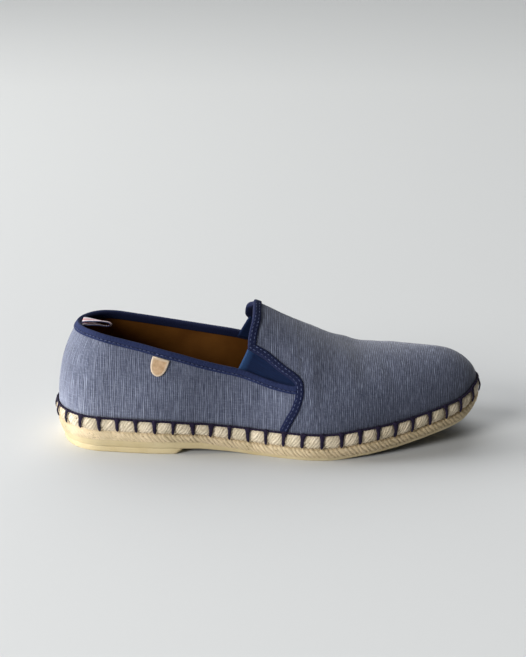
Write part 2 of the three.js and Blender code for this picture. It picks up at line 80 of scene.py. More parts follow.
# Sizes of the sole
HEEL_LIFT = 4.4
TOE_SPRING = 21.5
RUBBER = 4.9
ROPE = 15.0
BRAID_PROUD = 2.4
BREAST_AT = 0.2855 * FOOT
BREAST_SLOPE = 5.3
HEEL_RAKE = 2.7

# Sizes of the upper and the trimmings
WALL = 1.8
TAPE_WIDE = 5.4
GORE_THICK = 1.2
GORE_HIGH = 12.5
GORE_SLANT = 7.8
GORE_TUCK = 3.4
THROAT_AT = 0.47 * FOOT
SEAM_AT = 0.571 * FOOT
SIDE_DROP = 4.6
YARN = 2.0
PITCH = 12.56
TAG_WIDE = 11.0
TAG_LONG = 12.0
TAG_AT = 0.26 * FOOT
LOOP_WIDE = 12.0
GAP = 0.3
THREAD_PITCH = 1.3     # of the canvas, as seen
THREAD_DRIFT = 9.0     # in radians of that pitch
BAR_SHIFT = 2.0        # of the yarn's bars round the shoe
FLUSH = 0.62           # share of BRAID_PROUD where rope and rubber meet at the heel

# Tables. Where a note names one column less than there are, the first is a share of FOOT.
PLAN = [  # outer and inner half width as shares of BALL
    (0, 0.322, 0.322), (0.1, 0.347, 0.341), (0.25, 0.394, 0.343), (0.42, 0.381, 0.312),
    (0.6, 0.511, 0.425), (0.72, 0.484, 0.465), (0.85, 0.38, 0.415), (1, 0.33, 0.35),
]
SOLE = [  # shares of HEEL_LIFT, TOE_SPRING, RUBBER, ROPE
    (0, 1, 0, 1, 1.06), (0.1, 1, 0, 1, 0.96), (0.25, 1, 0, 1, 0.9),
    (0.335, 0.82, 0, 1, 0.82), (0.4, 0.36, 0, 0.66, 0.93), (0.48, 0, 0, 0.52, 1),
    (0.64, 0, 0, 0.41, 1.03), (0.71, 0, 0.08, 0.41, 1.05), (0.8, 0, 0.225, 0.41, 1),
    (0.9, 0, 0.5, 0.41, 0.98), (0.955, 0, 0.66, 0.41, 0.98), (1, 0, 1, 0.41, 0.97),
]
CROWN = [  # share of HEEL_HEIGHT, share of INSTEP_HEIGHT, shift as a share of BALL
    (0.207, 1.28, 0, 0), (0.345, 0.61, 0.54, 0.015), (0.469, 0, 1.01, 0.03),
    (0.5, 0, 0.972, 0.033), (0.53, 0, 0.922, 0.035), (0.6, 0, 0.812, 0.04),
    (0.67, 0, 0.71, 0.045), (0.72, 0, 0.665, 0.048), (0.78, 0, 0.657, 0.05),
    (0.879, 0, 0.653, 0.055),
]
# How round the sides are
BULGE = [(0, 2.12), (0.3, 2.35), (0.5, 2.2), (0.75, 2.15), (1, 1.95)]
QUARTER = [  # share of HEEL_HEIGHT, drop of the outer side as a share of SIDE_DROP
    (-0.1, 1, 0), (0.05, 1, 0), (0.09, 0.995, 0.02), (0.125, 0.977, 0),
    (0.195, 0.931, 0), (0.285, 0.876, 0.34), (0.355, 0.842, 1.05), (0.41, 0.812, 1.38),
    (0.46, 0.767, 1.38), (0.515, 0.695, 1.12), (0.553, 0.668, 1.08),
]
# The notch's front edge: share of GORE_HIGH above the quarter's edge
VAMP = [(0.56, 0.1), (0.5535, 0.24), (0.522, 0.56), (0.488, 0.91), (0.453, 1.08)]
THROAT = [  # share of the rise to INSTEP_HEIGHT, outer and inner setback in TAPE_WIDE
    (0.26, 0.84, 1.3), (0.54, 0.58, 1.22), (0.72, 0.32, 0.98),
    (0.86, 0.22, 0.34), (0.95, 0.2, 0.2), (2.5, 0.2, 0.2),
]
SEAM = [  # share of the way down to the rope, setback in TAPE_WIDE
    (0, 0), (0.16, -0.02), (0.43, 0.42), (0.66, 1.15), (0.92, 1.9), (1.3, 2.9),
]
BRAID = [  # share of the rope's height from the top, share of BRAID_PROUD
    (0, 0.2), (0.1, 0.72), (0.25, 1), (0.4, 0.86),
    (0.53, 0.4), (0.64, 0.78), (0.8, 0.86), (1, 0.38),
]
# The same for the yarn's bars
BAR = [(-0.09, 0.28), (0.1, 0.76), (0.25, 1.02), (0.54, 0.76)]
TAG = [  # shares of TAG_WIDE and TAG_LONG
    (-0.50, 0.00), (-0.52, 0.15), (-0.52, 0.30), (-0.51, 0.46), (-0.47, 0.62), (-0.39, 0.80),
    (-0.28, 0.91), (-0.15, 0.98), (-0.02, 1.00), (0.12, 0.97), (0.24, 0.89), (0.34, 0.77),
    (0.42, 0.60), (0.46, 0.40), (0.49, 0.15), (0.50, 0.00),
]


def through(rows, column, taut=True):
    """A smooth curve through a table's rows, as a function of arrays."""
    x, y = np.array(rows, float)[:, [0, column]].T
    slope = np.diff(y) / np.diff(x)
    tangent = join([slope[:1], np.zeros(len(x) - 2), slope[-1:]])
    for i in range(1, len(x) - 1):
        if not taut:
            tangent[i] = (y[i + 1] - y[i - 1]) / (x[i + 1] - x[i - 1])
        elif slope[i - 1] * slope[i] > 0:
            tangent[i] = 2 / (1 / slope[i - 1] + 1 / slope[i])

    def curve(at):
        place = np.clip(at, x[0], x[-1])
        i = np.clip(np.searchsorted(x, place) - 1, 0, len(slope) - 1)
        span = x[i + 1] - x[i]
        t = (place - x[i]) / span
        rise = tangent[i] * span
        run = tangent[i + 1] * span
        bend = 3 * (y[i + 1] - y[i]) - 2 * rise - run
        twist = 2 * (y[i] - y[i + 1]) + rise + run
        return y[i] + rise * t + bend * t * t + twist * t * t * t

    return curve


outer_half = through(PLAN, 1, False)
inner_half = through(PLAN, 2, False)
lift_share, spring_share, rubber_share, rope_share = (through(SOLE, i) for i in range(1, 5))
crown_heel, crown_instep, crown_shift = (through(CROWN, i) for i in range(1, 4))
bulge = through(BULGE, 1)
quarter_high = through(QUARTER, 1)
quarter_drop = through(QUARTER, 2)
braid_out = through(BRAID, 1)
bar_out = through(BAR, 1)


def underside(x):
    return HEEL_LIFT * lift_share(x / FOOT) + TOE_SPRING * spring_share(x / FOOT)


def rubber_top(x):
    return underside(x) + RUBBER * rubber_share(x / FOOT)


def rope_top(x):
    return rubber_top(x) + GAP + ROPE * rope_share(x / FOOT)


def outline(turn):
    """Canvas outline in plan: turn 0 at the heel, pi at the toe, positive on the outer side."""
    x = FOOT * (1 - np.cos(turn)) / 2
    share = x / FOOT
    side = np.where(np.sin(turn) > 0, -1.0, 1.0)
    half = BALL * np.where(side < 0, outer_half(share), inner_half(share))
    from_heel = np.maximum(0, (HEEL_ROUND - x) / HEEL_ROUND)
    from_toe = np.maximum(0, (x - FOOT + TOE_ROUND) / TOE_ROUND)
    closing = np.sqrt(np.maximum(0, (1 - from_heel ** END_POWER) * (1 - from_toe ** END_POWER)))
    middle = TIP_SHIFT * np.maximum(0, (share - BEND_FROM) / (1 - BEND_FROM)) ** 1.5
    return np.stack([x, middle + side * half * closing], -1)


def outline_at(turn, out):
    step = 0.01
    along = outline(turn + step) - outline(turn - step)
    length = size_of(along)
    place = outline(turn)
    return np.stack([
        place[..., 0] + along[..., 1] * out / length,
        place[..., 1] - along[..., 0] * out / length,
    ], -1)


def form(turn, climb):
    """Foot form: climb 0 at the rope, pi / 2 at the ridge, and on down the other side."""
    turn, climb = np.broadcast_arrays(turn, climb)
    over = climb > pi / 2
    turn = np.where(over, -turn, turn)
    climb = np.clip(np.where(over, pi - climb, climb), 0, pi / 2)
    foot = outline(turn)
    top_x = CROWN_HEEL + (CROWN_TOE - CROWN_HEEL) * foot[..., 0] / FOOT
    top_y = BALL * crown_shift(top_x / FOOT)
    top_z = HEEL_HEIGHT * crown_heel(top_x / FOOT) + INSTEP_HEIGHT * crown_instep(top_x / FOOT)
    curl = 2 / bulge(foot[..., 0] / FOOT)
    inwards = 1 - np.abs(np.cos(climb)) ** curl
    upwards = np.sin(climb) ** curl
    low = rope_top(foot[..., 0]) + GAP
    return np.stack([
        foot[..., 0] + (top_x - foot[..., 0]) * inwards,
        foot[..., 1] + (top_y - foot[..., 1]) * inwards,
        low + (top_z - low) * upwards,
    ], -1)


def slopes(turn, climb):
    step = 0.006
    along = (form(turn + step, climb) - form(turn - step, climb)) / (2 * step)
    low = np.maximum(0, climb - step)
    up = (form(turn, climb + step) - form(turn, low)) / (climb + step - low)[..., None]
    return along, up


def size_of(v):
    return np.linalg.norm(v, axis=-1)


def unit(v):
    return v / np.maximum(size_of(v), 1e-9)[..., None]


def grow(value, start, end):
    """0 before start, 1 past end and evenly between; end may lie before start."""
    return np.clip((value - start) / (end - start), 0, 1)


def lengths(line):
    """Distance of each point of a line from its start."""
    return join([[0], size_of(np.diff(line, axis=0))]).cumsum()


def form_at(turn, climb, out):
    turn, climb = np.broadcast_arrays(np.asarray(turn, float), np.asarray(climb, float))
    along, up = slopes(turn, climb)
    normal = unit(np.cross(along, up))
    return form(turn, climb) + normal * np.asarray(out)[..., None]


def smooth_line(points, count, taut=True):
    """Even steps along a smooth curve through points of the side view."""
    t = lengths(points)
    rows = np.column_stack([t, points])
    at = np.linspace(0, t[-1], count)
    return np.stack([through(rows, i, taut)(at) for i in (1, 2)], -1)


def walk(turn, climb, heading, distance, parts=4):
    """Moves places on the form by a distance along directions in space."""
    for _ in range(parts):
        along, up = slopes(turn, climb)
        step = heading * (distance / parts)[..., None]
        aa = (along * along).sum(-1)
        ab = (along * up).sum(-1)
        bb = (up * up).sum(-1)
        pa = (along * step).sum(-1)
        pb = (up * step).sum(-1)
        det = aa * bb - ab * ab
        turn = turn + (pa * bb - pb * ab) / det
        climb = climb + (pb * aa - pa * ab) / det
    return turn, climb


# Where the scene's millimetres lie in the frame
MM = 0.001
HALF_ROUND = 30    # the solid's steps along half of the outline
form_low = outline(np.arange(2 * HALF_ROUND) * pi / HALF_ROUND).min(0)
upper_low = np.array(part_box("upper")[0])
SHIFT = np.array([upper_low[0] / MM - form_low[0], upper_low[1] / MM - form_low[1], 0.0])


def add(name, data):
    thing = bpy.data.objects.new(name, data)
    bpy.context.scene.collection.objects.link(thing)
    return thing


def new_object(name, points, faces, materials, slots=None):
    mesh = bpy.data.meshes.new(name)
    mesh.from_pydata(((np.reshape(points, (-1, 3)) + SHIFT) * MM).tolist(), [], faces)
    for material in materials:
        mesh.materials.append(material)
    if slots is not None:
        mesh.polygons.foreach_set("material_index", np.asarray(slots, np.int32))
    mesh.polygons.foreach_set("use_smooth", [True] * len(mesh.polygons))
    mesh.update()
    return add(name, mesh)


def set_values(piece, **named):
    """Numbers for each point, which a material reads by their names."""
    for name, values in named.items():
        layer = piece.data.attributes.new(name, "FLOAT", "POINT")
        layer.data.foreach_set("value", np.asarray(values, np.float32).ravel())


def grid_faces(rows, columns, wrap_rows=False, wrap_columns=False, start=0):
    faces = []
    for i in range(rows if wrap_rows else rows - 1):
        for j in range(columns if wrap_columns else columns - 1):
            k = (i + 1) % rows
            m = (j + 1) % columns
            faces.append((start + i * columns + j, start + k * columns + j,
                          start + k * columns + m, start + i * columns + m))
    return faces


def tube_faces(rows, columns, start=0, closed=False):
    """Faces of a sweep of closed sections, with flat ends unless it closes on itself."""
    faces = grid_faces(rows, columns, closed, True, start)
    if not closed:
        faces.append(tuple(start + j for j in range(columns)))
        last = start + (rows - 1) * columns
        faces.append(tuple(last + j for j in reversed(range(columns))))
    return faces


# Materials
BLACK = (0, 0, 0)
WHITE = (1, 1, 1)


def grey(tone):
    return (tone, tone, tone)


class Look:
    """A material with a few helpers for its nodes."""

    def __init__(self, name, rough, sheen=0.0):
        self.material = bpy.data.materials.new(name)
        self.material.use_nodes = True
        self.tree = self.material.node_tree
        self.shader = self.tree.nodes["Principled BSDF"]
        self.feed(self.shader, {"Roughness": rough, "Specular IOR Level": 0.25})
        if sheen:
            self.feed(self.shader, {"Sheen Weight": sheen, "Sheen Roughness": 0.5})

    def feed(self, node, items):
        """Sets a node's inputs to numbers, vectors or colours, or links them to outputs."""
        for name, item in items.items():
            target = node.inputs[name]
            if isinstance(item, tuple):
                target.default_value = (*item, 1)[:len(target.default_value)]
            elif isinstance(item, (int, float)):
                target.default_value = item
            else:
                self.tree.links.new(item, target)

    def node(self, kind, items, **settings):
        made = self.tree.nodes.new("ShaderNode" + kind)
        for name, value in settings.items():
            setattr(made, name, value)
        self.feed(made, items)
        return made

    def value(self, name):
        return self.node("Attribute", {}, attribute_name=name).outputs["Fac"]

    def place(self):
        return self.node("TexCoord", {}).outputs["Object"]

    def strip(self, across, along):
        """Coordinates in millimetres from two named values."""
        return self.node("CombineXYZ", {0: self.value(across), 1: self.value(along)}).outputs[0]

    def math(self, operation, *items):
        return self.node("Math", dict(enumerate(items)), operation=operation).outputs[0]

    def noise(self, coordinate, scale, detail=3.0, stretch=(1, 1, 1)):
        spot = self.node("Mapping", {"Scale": stretch, "Vector": coordinate}).outputs[0]
        return self.node("TexNoise", {"Scale": scale, "Detail": detail, "Vector": spot}).outputs["Fac"]

    def ramp(self, fac, *stops, kind="LINEAR"):
        made = self.node("ValToRGB", {"Fac": fac})
        made.color_ramp.interpolation = kind
        elements = made.color_ramp.elements
        while len(elements) < len(stops):
            elements.new(0.5)
        for element, (place, colour) in zip(elements, stops):
            element.position = place
            element.color = (*colour, 1)
        return made.outputs["Color"]

    def mix(self, fac, a, b, blend="MIX"):
        """The numbers are the places of factor, colours and result on the node."""
        return self.node("Mix", {0: fac, 6: a, 7: b}, data_type="RGBA", blend_type=blend).outputs[2]

    def times(self, colour, tint):
        return self.mix(1.0, colour, tint, "MULTIPLY")

    def colour(self, source):
        self.feed(self.shader, {"Base Color": source})

    def bump(self, height, distance, strength=1.0):
        made = self.node("Bump", {"Strength": strength, "Distance": distance, "Height": height})
        self.feed(self.shader, {"Normal": made.outputs[0]})


def canvas_look():
    """Two-tone cloth: fine upright threads with pale and dark slubs."""
    look = Look("canvas", 0.9, 0.3)
    cloth = look.strip("weft", "warp")
    slub = look.noise(cloth, 1.0, 1.0, (1.5, 0.065, 1))
    fine = look.noise(cloth, 1.0, 2.0, (2.4, 0.24, 1))
    cross = look.noise(cloth, 1.0, 2.0, (0.24, 0.95, 1))
    drift = look.noise(cloth, 1.0, 2.0, (0.35, 0.05, 1))
    cloud = look.noise(look.place(), 26.0)
    even = look.math("MULTIPLY", look.value("weft"), 2 * pi / THREAD_PITCH)
    turns = look.math("ADD", even, look.math("MULTIPLY", drift, THREAD_DRIFT))
    thread = look.math("MULTIPLY", look.math("SINE", turns), 0.5)
    thread = look.math("ADD", thread, 0.5)
    base = look.ramp(fine, (0.30, (0.072, 0.084, 0.130)), (0.70, (0.150, 0.166, 0.230)))
    pale = look.ramp(slub, (0.54, BLACK), (0.74, grey(0.72)))
    dark = look.ramp(slub, (0.28, grey(0.90)), (0.45, BLACK))
    weft = look.ramp(cross, (0.48, BLACK), (0.70, grey(0.55)))
    worn = look.ramp(cloud, (0.35, (0.90, 0.90, 0.91)), (0.65, (1.08, 1.08, 1.07)))
    lines = look.ramp(thread, (0.0, (0.58, 0.58, 0.60)), (1.0, (1.38, 1.38, 1.36)))
    colour = look.mix(pale, base, (0.30, 0.33, 0.42))
    colour = look.mix(dark, colour, (0.052, 0.062, 0.102))
    colour = look.mix(weft, colour, (0.20, 0.225, 0.29))
    colour = look.times(look.times(colour, lines), worn)
    # Painted light and shade: paler round the heel and on top, darker at the foot of the vamp
    fade = look.ramp(look.value("fade"), (0.0, (0.43, 0.44, 0.50)), (0.45, (0.89, 0.90, 0.95)),
                     (1.0, (1.76, 1.72, 1.68)))
    look.colour(look.times(colour, fade))
    look.bump(look.math("ADD", fine, look.math("MULTIPLY", thread, 0.8)), 0.0003, 0.6)
    return look.material


def plain_look(name, low, high, rough, scale, bump):
    """Grain between two colours."""
    look = Look(name, rough)
    grain = look.noise(look.place(), scale, 4.0)
    look.colour(look.ramp(grain, (0.32, low), (0.68, high)))
    if bump:
        look.bump(grain, bump)
    return look.material


def tape_look():
    look = Look("binding", 0.9)
    rib = look.noise(look.strip("down", "run"), 1.0, 2.0, (0.35, 1.9, 1))
    colour = look.ramp(rib, (0.30, (0.010, 0.017, 0.062)), (0.72, (0.027, 0.040, 0.118)))
    # Painted shade in the stitched groove, on the inner leg and, as far as deep gives, over the whole tape
    groove = look.ramp(look.value("groove"), (0.0, WHITE), (1.0, (0.24, 0.28, 0.42)))
    look.colour(look.times(colour, groove))
    look.bump(rib, 0.0003, 0.7)
    return look.material


def elastic_look():
    look = Look("elastic", 0.85)
    rib = look.noise(look.strip("down", "run"), 1.0, 2.0, (2.2, 0.12, 1))
    colour = look.ramp(rib, (0.30, (0.001, 0.007, 0.036)), (0.72, (0.003, 0.016, 0.068)))
    # Painted highlight along the outer elastic's rear edge
    rim = look.ramp(look.value("rim"), (0.86, BLACK), (0.97, WHITE))
    look.colour(look.mix(rim, colour, (0.020, 0.060, 0.160)))
    look.bump(rib, 0.0003, 0.6)
    return look.material


def jute_look():
    look = Look("jute", 0.95, 0.15)
    fibre = look.noise(look.strip("across", "lengthwise"), 1.0, 3.0, (2.6, 0.22, 1))
    patch = look.noise(look.place(), 90.0)
    speck = look.noise(look.place(), 420.0, 2.0)
    colour = look.ramp(fibre, (0.26, (0.66, 0.57, 0.43)), (0.48, (0.88, 0.79, 0.64)),
                       (0.74, (0.98, 0.92, 0.82)))
    tint = look.ramp(patch, (0.36, (0.88, 0.86, 0.78)), (0.64, (1.08, 1.05, 1.0)))
    colour = look.times(colour, tint)
    fleck = look.ramp(speck, (0.66, BLACK), (0.74, grey(0.7)))
    colour = look.mix(fleck, colour, (0.33, 0.24, 0.12))
    # Painted shade between the strands, in the seam, beside the bars, at the heel end and towards the toe
    depth = look.ramp(look.value("crevice"), (0.0, WHITE), (1.0, (0.36, 0.29, 0.21)))
    colour = look.times(colour, depth)
    course = look.ramp(look.value("course"), (0.0, (1.06, 1.05, 1.04)), (1.0, (0.90, 0.83, 0.70)))
    look.colour(look.times(colour, course))
    look.bump(fibre, 0.0006, 0.8)
    return look.material


def rubber_look():
    look = Look("rubber", 0.6)
    grain = look.noise(look.place(), 55.0, 4.0)
    colour = look.ramp(grain, (0.34, (0.67, 0.545, 0.31)), (0.66, (0.76, 0.64, 0.40)))
    # A faint darker line round the middle of the side, and painted shade at the heel end and towards the
    # toe
    line = look.ramp(look.value("groove"), (0.0, WHITE), (1.0, (0.70, 0.70, 0.72)))
    look.colour(look.times(colour, line))
    look.bump(look.noise(look.place(), 900.0, 2.0), 0.0002, 0.5)
    return look.material


def tag_look():
    look = Look("tag_leather", 0.55)
    grain = look.noise(look.place(), 380.0, 4.0)
    colour = look.ramp(grain, (0.34, (0.50, 0.32, 0.18)), (0.66, (0.68, 0.47, 0.29)))
    rim = look.ramp(look.value("rim"), (0.72, BLACK), (0.92, WHITE))
    look.colour(look.mix(rim, colour, (0.72, 0.58, 0.43)))
    look.bump(grain, 0.0002, 0.6)
    return look.material


def stripe_look():
    """Striped tape: navy edges, white and red down the middle."""
    look = Look("striped_tape", 0.85, 0.2)
    navy, white, red = (0.020, 0.026, 0.090), (0.72, 0.62, 0.64), (0.50, 0.10, 0.12)
    stripes = look.ramp(look.value("across_tape"), (0.0, navy), (0.14, white), (0.40, red),
                        (0.60, white), (0.86, navy), kind="CONSTANT")
    weave = look.noise(look.place(), 700.0, 2.0)
    tone = look.ramp(weave, (0.3, grey(0.8)), (0.7, grey(1.05)))
    look.colour(look.times(stripes, tone))
    look.bump(weave, 0.0002, 0.6)
    return look.material


CANVAS = canvas_look()
LINING = plain_look("leather_lining", (0.105, 0.036, 0.004), (0.155, 0.058, 0.008), 0.55, 60.0, 0.0002)
SOCK = plain_look("leather_sock", (0.150, 0.066, 0.012), (0.220, 0.100, 0.022), 0.6, 70.0, 0.0002)
TAPE = tape_look()
THREAD = plain_look("thread", (0.010, 0.015, 0.048), (0.110, 0.135, 0.245), 0.8, 330.0, 0.0)
ELASTIC = elastic_look()
JUTE = jute_look()
RUBBER_LOOK = rubber_look()
YARN_LOOK = plain_look("yarn", (0.006, 0.004, 0.015), (0.024, 0.016, 0.045), 0.9, 900.0, 0.0004)
TAG_LOOK = tag_look()
STRIPES = stripe_look()


# The opening's finished edges, in the side view
def quarter_z(x, outer):
    return HEEL_HEIGHT * quarter_high(x / FOOT) - outer * SIDE_DROP * quarter_drop(x / FOOT)


def vamp_edge(outer):
    """Points from the seam's top to the throat's lower corner."""
    rows = np.array(VAMP)
    x = rows[:, 0] * FOOT
    return np.stack([x, quarter_z(x, outer) + rows[:, 1] * GORE_HIGH], -1)


def throat_edge(outer):
    """x as a function of z above the corner."""
    low = vamp_edge(outer)[-1]
    rows = [(low[1], low[0])]
    for rise, back_outer, back_inner in THROAT:
        back = back_outer if outer else back_inner
        rows.append((low[1] + rise * (INSTEP_HEIGHT - low[1]), THROAT_AT - back * TAPE_WIDE))
    return through(rows, 1)


def in_opening(points, margin):
    """True where a place on the canvas lies in the opening or within a margin of its edge."""
    x, y, z = np.moveaxis(points, -1, 0)
    outer = (y < 0).astype(float)
    rear = z > quarter_z(x, outer) - margin
    cut = np.zeros(x.shape, bool)
    for side in (0.0, 1.0):
        edge = vamp_edge(side)
        notch = through([tuple(point[::-1]) for point in edge], 1)
        throat = throat_edge(side)
        limit = np.where(z < edge[-1][1], notch(z), throat(z)) + margin
        limit = np.where(z < edge[0][1], edge[0][0], limit)
        cut |= (outer == side) & rear & (x < limit)
    return cut


def solve(value, low, high, steps=34):
    """Where a rising function of an array crosses zero, between two bounds."""
    for _ in range(steps):
        middle = (low + high) / 2
        above = value(middle) > 0
        high = np.where(above, middle, high)
        low = np.where(above, low, middle)
    return (low + high) / 2


def find_side(x, z, outer):
    """Turn and climb of the place that the outer or the inner side view shows at x, z."""
    x = np.asarray(x, float)
    z = np.asarray(z, float)
    guess = np.arccos(np.clip(1 - 2 * (x - 6) / FOOT, -1, 1))
    turn = guess if outer else -guess
    climb = np.full(x.shape, 0.8)
    reach = 0.1
    for _ in range(25):
        here = form(turn, climb)
        along, up = slopes(turn, climb)
        det = along[..., 0] * up[..., 2] - along[..., 2] * up[..., 0]
        dx = x - here[..., 0]
        dz = z - here[..., 2]
        turn = turn + np.clip((dx * up[..., 2] - dz * up[..., 0]) / det, -reach, reach)
        climb = climb + np.clip((dz * along[..., 0] - dx * along[..., 2]) / det, -reach, reach)
        climb = np.clip(climb, 0.001, pi / 2)
    return turn, climb


# Creases and softness of the canvas: middle (turn share, climb), reach along and across, depth
CREASES = [
    (0.600, 1.05, 0.020, 0.55, -0.7),
    (0.628, 1.15, 0.016, 0.45, 0.4),
    (0.655, 1.00, 0.018, 0.50, -0.6),
    (0.700, 0.80, 0.022, 0.35, -0.5),
    (0.740, 1.20, 0.020, 0.50, 0.4),
    (0.300, 0.95, 0.050, 0.30, -0.6),
    (0.400, 0.75, 0.040, 0.35, 0.5),
    (0.180, 0.80, 0.035, 0.40, -0.5),
    (0.460, 0.45, 0.030, 0.30, -0.5),
    (0.540, 0.40, 0.020, 0.35, 0.4),
    (0.562, 0.50, 0.009, 0.45, 0.55),
    (0.580, 0.65, 0.010, 0.45, -0.55),
    (0.690, 0.85, 0.010, 0.40, 0.35),
]
WAVE_DEPTH = 0.30
WAVES_ROUND = 9
WAVE_LEAN = 2.2
SLACK = 0.1


def softness(turn, climb):
    """How far the canvas stands out of the form."""
    out = WAVE_DEPTH * np.sin(WAVES_ROUND * turn + WAVE_LEAN * climb) * np.sin(2 * climb) ** 2
    share = np.abs(turn) / pi
    fade = grow(climb, 0, 0.35) * np.clip((pi / 2 + 0.05 - climb) / 0.6, 0.1, 1)
    for side in (1, -1):
        for middle, height, wide, high, depth in CREASES:
            near = np.exp(-((share - middle) / wide) ** 2 - ((climb - height) / high) ** 2)
            out = out + depth * near * (np.sign(turn) == side)
    return out * fade - SLACK


def seam_at(z):
    """x of the side seam's middle at a height."""
    top = quarter_z(VAMP[0][0] * FOOT, 0)
    down = (top - z) / (top - rope_top(SEAM_AT))
    return SEAM_AT - through(SEAM, 1)(np.clip(down, 0, 1)) * TAPE_WIDE


# Painted light and shade on the cloth: where they change above the rope, from the heel end and from the
# middle forwards
PAINTED_LIGHT_HIGH = 30
PAINTED_LIGHT_REAR = 85
PAINTED_LIGHT_FRONT = 60
PAINTED_LIGHT_MIDDLE = 0.45


def painted_light_and_shade(place):
    """Painted light on the cloth, paler round the heel and on top, and painted shade, deeper at the foot of
    the vamp.
    """
    x, _, z = np.moveaxis(place, -1, 0)
    low = grow(z - rope_top(x), PAINTED_LIGHT_HIGH, 0)
    rear = grow(x, PAINTED_LIGHT_REAR, 0)
    front = grow(x - 0.5 * FOOT, 0, PAINTED_LIGHT_FRONT)
    heel = 0.5 * rear * (0.3 + 0.95 * low)
    vamp = front * (0.15 * (1 - low) - 0.10 - 0.34 * low)
    return PAINTED_LIGHT_MIDDLE + heel + vamp


UPRIGHT_FROM = 45   # along the foot of the quarter, from the heel


def upright_threads(surface, turn):
    """Distance round the heel, so that threads stand upright along the flanks."""
    step = size_of(np.diff(surface[..., :2], axis=0))
    arc = join([np.zeros((1, surface.shape[1])), step]).cumsum(0)
    arc = arc - arc[len(turn) // 2]
    flank = grow(np.abs(arc), 0, UPRIGHT_FROM)
    flank = flank * flank * (3 - 2 * flank)
    threads = arc.copy()
    for side in (turn > 0, turn <= 0):
        order = np.argsort(surface[side][:, 0, 0])
        ends = [np.interp(0.5 * FOOT, surface[side][order, level, 0], arc[side][order, level])
                for level in range(surface.shape[1])]
        threads[side] -= flank[side] * (np.array(ends) - ends[0])
    return threads


UPPER_ROUND = 440
UPPER_HIGH = 62
EDGE_MARGIN = 1.2      # of the canvas behind the tapes' fold
VAMP_CLOTH = 500       # another part of the same weave
VAMP_SLUBS = 2.2       # times shorter than on the quarters


def wall_faces(front, size, ridge=lambda k: False):
    """Faces of a wall's two sides and of its open edges, apart from a ridge; slots for materials."""
    faces, slots = [], []
    edges = {}
    for face in front:
        faces += [face, tuple(k + size for k in reversed(face))]
        slots += [0, 1]
        for a, b in zip(face, face[1:] + face[:1]):
            if (b, a) in edges:
                del edges[(b, a)]
            else:
                edges[(a, b)] = True
    for a, b in edges:
        if not (ridge(a) and ridge(b)):
            faces.append((b, a, a + size, b + size))
            slots.append(0)
    return faces, slots


def both(values):
    """The same values for the two sides of a wall."""
    return join([values.ravel()] * 2)


def make_upper():
    turn = (np.arange(UPPER_ROUND) / UPPER_ROUND * 2 - 1) * pi
    climb = np.linspace(0, pi / 2, UPPER_HIGH)
    turn, climb = np.meshgrid(turn, climb, indexing="ij")
    soft = softness(turn, climb) * grow(climb, 0, 0.2)
    outside = form_at(turn, climb, soft)
    inside = form_at(turn, climb, -WALL + soft * 0.5)
    inside[..., 2] = np.maximum(inside[..., 2], outside[:, :1, 2])
    keep = ~in_opening(form(turn, climb), EDGE_MARGIN).ravel()
    front = [face for face in grid_faces(UPPER_ROUND, UPPER_HIGH, True) if all(keep[k] for k in face)]
    points = join([outside.reshape(-1, 3), inside.reshape(-1, 3)])
    faces, slots = wall_faces(front, len(keep), lambda k: k % UPPER_HIGH == UPPER_HIGH - 1)
    piece = new_object("upper_canvas", points, faces, [CANVAS, LINING], slots)
    rise = size_of(np.diff(outside, axis=1))
    warp = join([np.zeros((UPPER_ROUND, 1)), rise], 1).cumsum(1)
    weft = upright_threads(outside, turn[:, 0])
    # The vamp's threads run straight across the foot, the quarter's upright round the heel
    in_vamp = outside[..., 0] > seam_at(outside[..., 2])
    weft = np.where(in_vamp, VAMP_CLOTH + outside[..., 0], weft)
    warp = np.where(in_vamp, VAMP_SLUBS * (warp - warp[:, -1:]), warp)
    # Painted light round the heel and painted shade at the foot of the vamp, which the canvas's look reads
    set_values(piece, fade=both(painted_light_and_shade(outside)), weft=both(weft), warp=both(warp))
    # The two halves meet along the ridge
    weld(piece, 0.00002)
    return piece


def weld(piece, distance):
    work = bmesh.new()
    work.from_mesh(piece.data)
    bmesh.ops.remove_doubles(work, verts=work.verts, dist=distance)
    loose = [vertex for vertex in work.verts if not vertex.link_faces]
    bmesh.ops.delete(work, geom=loose, context="VERTS")
    work.to_mesh(piece.data)
    work.free()


def smoothed(values, reach=3):
    """Running mean over neighbours along the first axis."""
    kernel = np.ones(2 * reach + 1) / (2 * reach + 1)
    padded = join([values[:1].repeat(reach, 0), values, values[-1:].repeat(reach, 0)])
    return np.stack([np.convolve(column, kernel, "valid") for column in padded.T], -1)


TAPE_STEP = 0.9


def spread(turn, climb):
    """Resamples a path on the form at equal steps; the path may cross the ridge."""
    length = lengths(form(turn, climb))
    at = np.linspace(0, length[-1], int(length[-1] / TAPE_STEP))
    return np.interp(at, length, turn), np.interp(at, length, climb), at


# A folded tape's section: distance from the fold, distance out of the canvas
FOLD = [
    (5.40, 0.30), (5.36, 0.80), (5.10, 1.08), (4.30, 1.16), (3.70, 1.08), (3.10, 1.16), (1.20, 1.14),
    (0.45, 0.95), (0.10, 0.45), (0.00, -0.40), (0.00, -1.40), (0.10, -2.25), (0.45, -2.75),
    (1.20, -2.90), (4.60, -2.90), (5.20, -2.75), (5.40, -2.35),
    (5.30, -2.12), (0.95, -2.12), (0.82, -1.60), (0.82, 0.05), (1.00, 0.22), (5.20, 0.22),
]
FOLD_LINE = 3.7        # the stitched groove
FOLD_WALL = 0.80       # how far the inner leg reaches where the tape doesn't fold over
INNER_LEG = -1.0       # the section's inner leg lies deeper than this
UNDER_WALL = -2.0      # a floor above this leaves the inner leg out


